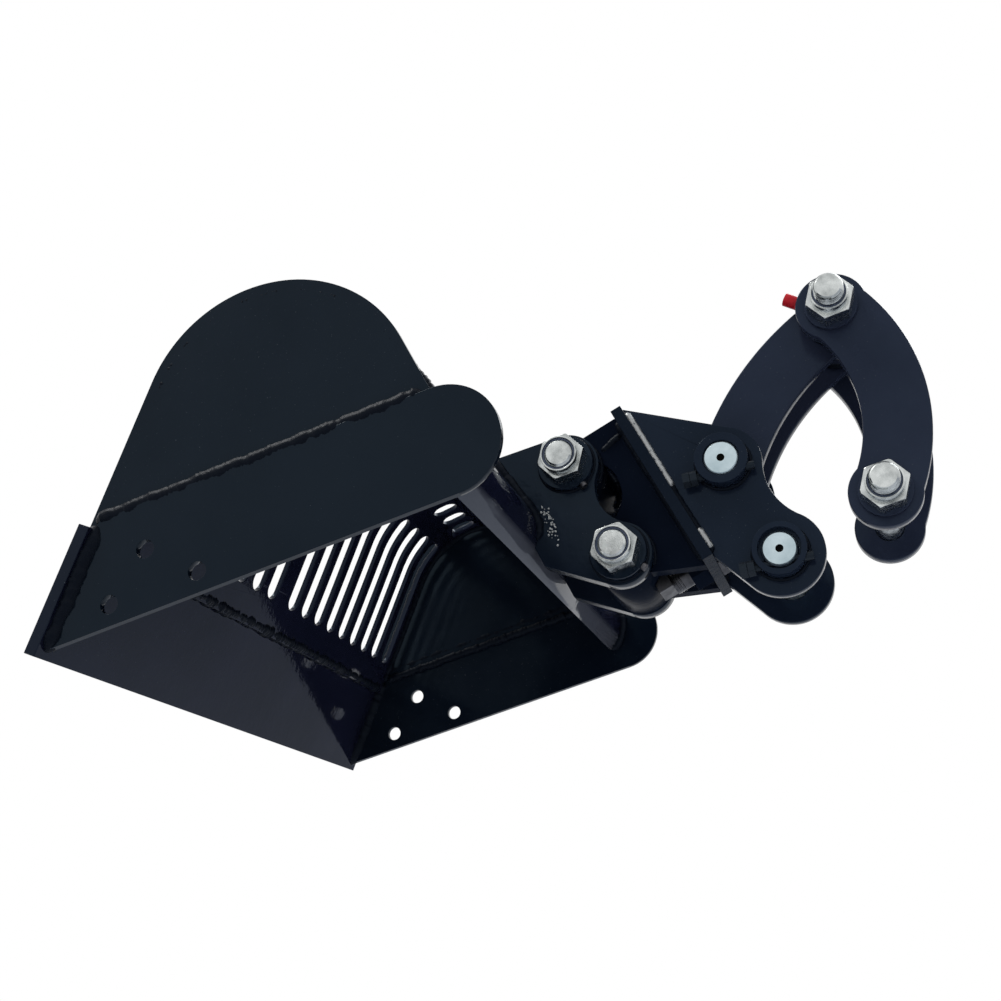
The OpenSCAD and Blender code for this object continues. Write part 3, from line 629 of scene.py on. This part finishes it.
def hitch_welds():
    front, rear = CROSS_FRONT + 0.6, CROSS_REAR - 0.2
    low, high = CROSS_LOW + 3, CROSS_TOP - 3
    both_sides("lug_bead", hitch_line(front, LUG_OUT + 0.2, low, high), radius=2.6, rough=0.2, ripple=0.03)
    both_sides("lug_inner_bead", hitch_line(front, LUG_IN - 0.6, low, high), radius=2.8, rough=0.3)
    for label, (start, end), rough in (("high", BARE_HIGH, 0.08), ("low", BARE_LOW, 0.10)):
        points = hitch_line(front + 0.3, LUG_OUT + 0.8, start, end)
        both_sides("lug_bare_" + label, points, radius=3.0, mat=BARE_WELD, rough=rough, ripple=0.015)
    outer_line = hitch_line(rear, WEB_OUT - 0.1, low + 1, high)
    both_sides("web_bead", outer_line, radius=2.6, rough=0.06, ripple=0.01, pitch=6.0)
    inner_line = hitch_line(rear - 0.6, WEB_IN - 0.5, low + 1, high)
    both_sides("web_inner_bead", inner_line, radius=3.0, rough=0.2, ripple=0.03)
    both_sides("web_spot", [Vector(place) for place in SPOT_ENDS], radius=2.6, rough=0.3, ripple=0.01)
    for centre, arc, label in ((BOLT_LOW, LOW_HUB_ARC, "low"), (BOLT_HIGH, HIGH_HUB_ARC, "high")):
        for y in (WEB_IN - 0.5, WEB_OUT + 0.3):
            points = [at_hitch(p) for p in circle_points(centre, BOLT_HUB_R + 0.4, y, *arc, steps=24)]
            both_sides("hub_bead_%s_%d" % (label, y), points, radius=1.6, rough=0.3)
    for centre, label in ((LINK_PIVOT, "link"), (DIPPER_PIVOT, "dipper")):
        points = circle_points(at_hitch(centre), LUG_BOSS_R + 0.5, LUG_OUT)
        both_sides(label + "_boss_bead", points, radius=1.6, rough=0.14, ripple=0.02, pitch=6.0,
                   closed=True)


def linkage_welds():
    for centre, label in ((at_hitch(LINK_PIVOT), "link"), (ROD_PIVOT, "rod")):
        for y in (LINK_IN - 0.4, LINK_OUT + 0.4):
            points = circle_points(centre, LINK_HUB_R + 0.5, y)
            both_sides("%s_hub_bead_%d" % (label, y), points, radius=1.7, body="tipping_link", rough=0.3,
                       closed=True)


# Small dressing
def spatter():
    """Small beads of weld metal stuck on the outer face of the near ear."""
    dice = random.Random(SPATTER_SEED)
    made = bmesh.new()
    for _ in range(SPATTER_COUNT):
        place = Vector([dice.uniform(a, b) for a, b in zip(SPATTER_LOW, SPATTER_HIGH)]) * MM
        size = dice.uniform(*SPATTER_R) * MM
        spot = Matrix.Translation(place) @ Matrix.Diagonal((size, size * 0.7, size, 1))
        bmesh.ops.create_icosphere(made, subdivisions=2, radius=1.0, matrix=spot)
    add_mesh("ear_spatter", made, BARE_WELD, "bucket")


def helix(name, centre, axis, reach, bar_r, ridge, pitch, mat, body):
    """A thread ridge that winds round a bar between two distances from a centre."""
    ahead = axis.normalized()
    side = ahead.orthogonal().normalized()
    up = ahead.cross(side)
    start, end = reach
    radius = bar_r - THREAD_INSET
    made, rings = bmesh.new(), []
    count = int((end - start) / pitch * THREAD_STEPS)
    for i in range(count + 1):
        angle = 2 * math.pi * i / THREAD_STEPS
        out = side * math.cos(angle) + up * math.sin(angle)
        base = centre + ahead * (start + pitch * i / THREAD_STEPS)
        top = ridge * min(1.0, 0.1 + min(i, count - i) / THREAD_FADE)
        foot = -RIDGE_SUNK
        profile = ((-RIDGE_FOOT, foot), (-RIDGE_TOP, top), (RIDGE_TOP, top), (RIDGE_FOOT, foot))
        places = [base + ahead * along * pitch + out * (radius + rise) for along, rise in profile]
        rings.append([made.verts.new(place * MM) for place in places])
    skin(made, rings)
    add_mesh(name, made, mat, body, smooth=False)


def threads():
    for centre, label in ((ROD_PIVOT, "rod"), (ROCKER_PIVOT, "rocker")):
        helix(label + "_bolt_thread", centre, Vector((0, -1, 0)), BOLT_THREAD, bar_r=BOLT_R,
              ridge=BOLT_RIDGE, pitch=BOLT_PITCH, mat=MATERIALS["zinc"], body="rocker")
    helix("clamp_thread", at_hitch(SCREW_FOOT), at_hitch((1, 0, 0)), SCREW_THREAD, bar_r=SCREW_R,
          ridge=SCREW_RIDGE, pitch=SCREW_PITCH, mat=MATERIALS["clamp_steel"], body="clamp_screw")


def grease_holes():
    """Painted shade: a near-black disc a little below the mouth of the hole in each pin."""
    across = Matrix.Rotation(math.pi / 2, 4, "X")
    rows = ((LINK_PIVOT, LINK_SHADE_Y, "link"), (DIPPER_PIVOT, DIPPER_SHADE_Y, "dipper"))
    for centre, y, label in rows:
        made = bmesh.new()
        place = at_hitch((centre.x, y, centre.z)) * MM
        radius = SHADE_DISC_R * MM
        bmesh.ops.create_cone(made, cap_ends=True, segments=24, radius1=radius, radius2=radius,
                              depth=SHADE_DISC_T * MM, matrix=Matrix.Translation(place) @ across)
        add_mesh(label + "_grease", made, HOLE_SHADE, "bucket", smooth=False)


# Studio
def area_light(name, place, target, size, power, color):
    data = bpy.data.lights.new(name, "AREA")
    data.shape = "RECTANGLE"
    data.size, data.size_y = size
    data.energy = power
    data.color = color
    light = bpy.data.objects.new(name, data)
    bpy.context.scene.collection.objects.link(light)
    light.location = place
    light.rotation_mode = "QUATERNION"
    light.rotation_quaternion = (Vector(target) - Vector(place)).to_track_quat("-Z", "Y")


def world():
    """A soft sky that lights the object, and white for the camera and in gloss and glass."""
    made = bpy.data.worlds.new("studio")
    bpy.context.scene.world = made
    made.use_nodes = True
    nodes, links = made.node_tree.nodes, made.node_tree.links
    background = nodes["Background"]
    coord = nodes.new("ShaderNodeTexCoord")
    split = nodes.new("ShaderNodeSeparateXYZ")
    links.new(coord.outputs["Generated"], split.inputs["Vector"])
    height = span(nodes, links, split.outputs["Z"], -1, 1)
    sky = ramp(nodes, links, height, (0.35, SKY_LOW), (0.75, SKY_HIGH))
    path = nodes.new("ShaderNodeLightPath")
    kinds = ("Is Camera Ray", "Is Glossy Ray", "Is Transmission Ray")
    shown = combined(nodes, links, "MAXIMUM", [path.outputs[kind] for kind in kinds])
    links.new(mixed(nodes, links, shown, sky, WHITE), background.inputs["Color"])
    background.inputs["Strength"].default_value = 1.0


def floor():
    made = bmesh.new()
    corners = ((-1, -1), (1, -1), (1, 1), (-1, 1))
    made.faces.new([made.verts.new((x * FLOOR_HALF, y * FLOOR_HALF, FLOOR_Z)) for x, y in corners])
    mesh = bpy.data.meshes.new("floor")
    made.to_mesh(mesh)
    made.free()
    obj = bpy.data.objects.new("floor", mesh)
    bpy.context.scene.collection.objects.link(obj)
    mat, _, _, shader = new_material("floor")
    shader.inputs["Base Color"].default_value = (*FLOOR_GREY, 1)
    shader.inputs["Roughness"].default_value = 0.9
    mesh.materials.append(mat)


noise.seed_set(NOISE_SEED)
bpy.context.scene.view_settings.view_transform = "Standard"
camera()
dress_nodes()
shell_welds()
ear_welds()
hitch_welds()
linkage_welds()
spatter()
threads()
grease_holes()
world()
floor()
area_light("key", place=(-0.7, -0.5, 2.2), target=(-0.1, 0, 0.08), size=(0.9, 0.9), power=26,
           color=(1.0, 0.98, 0.95))
area_light("rim", place=(0.9, 0.9, 1.0), target=(0, 0, 0.08), size=(1.2, 0.8), power=14,
           color=(0.95, 0.98, 1.0))
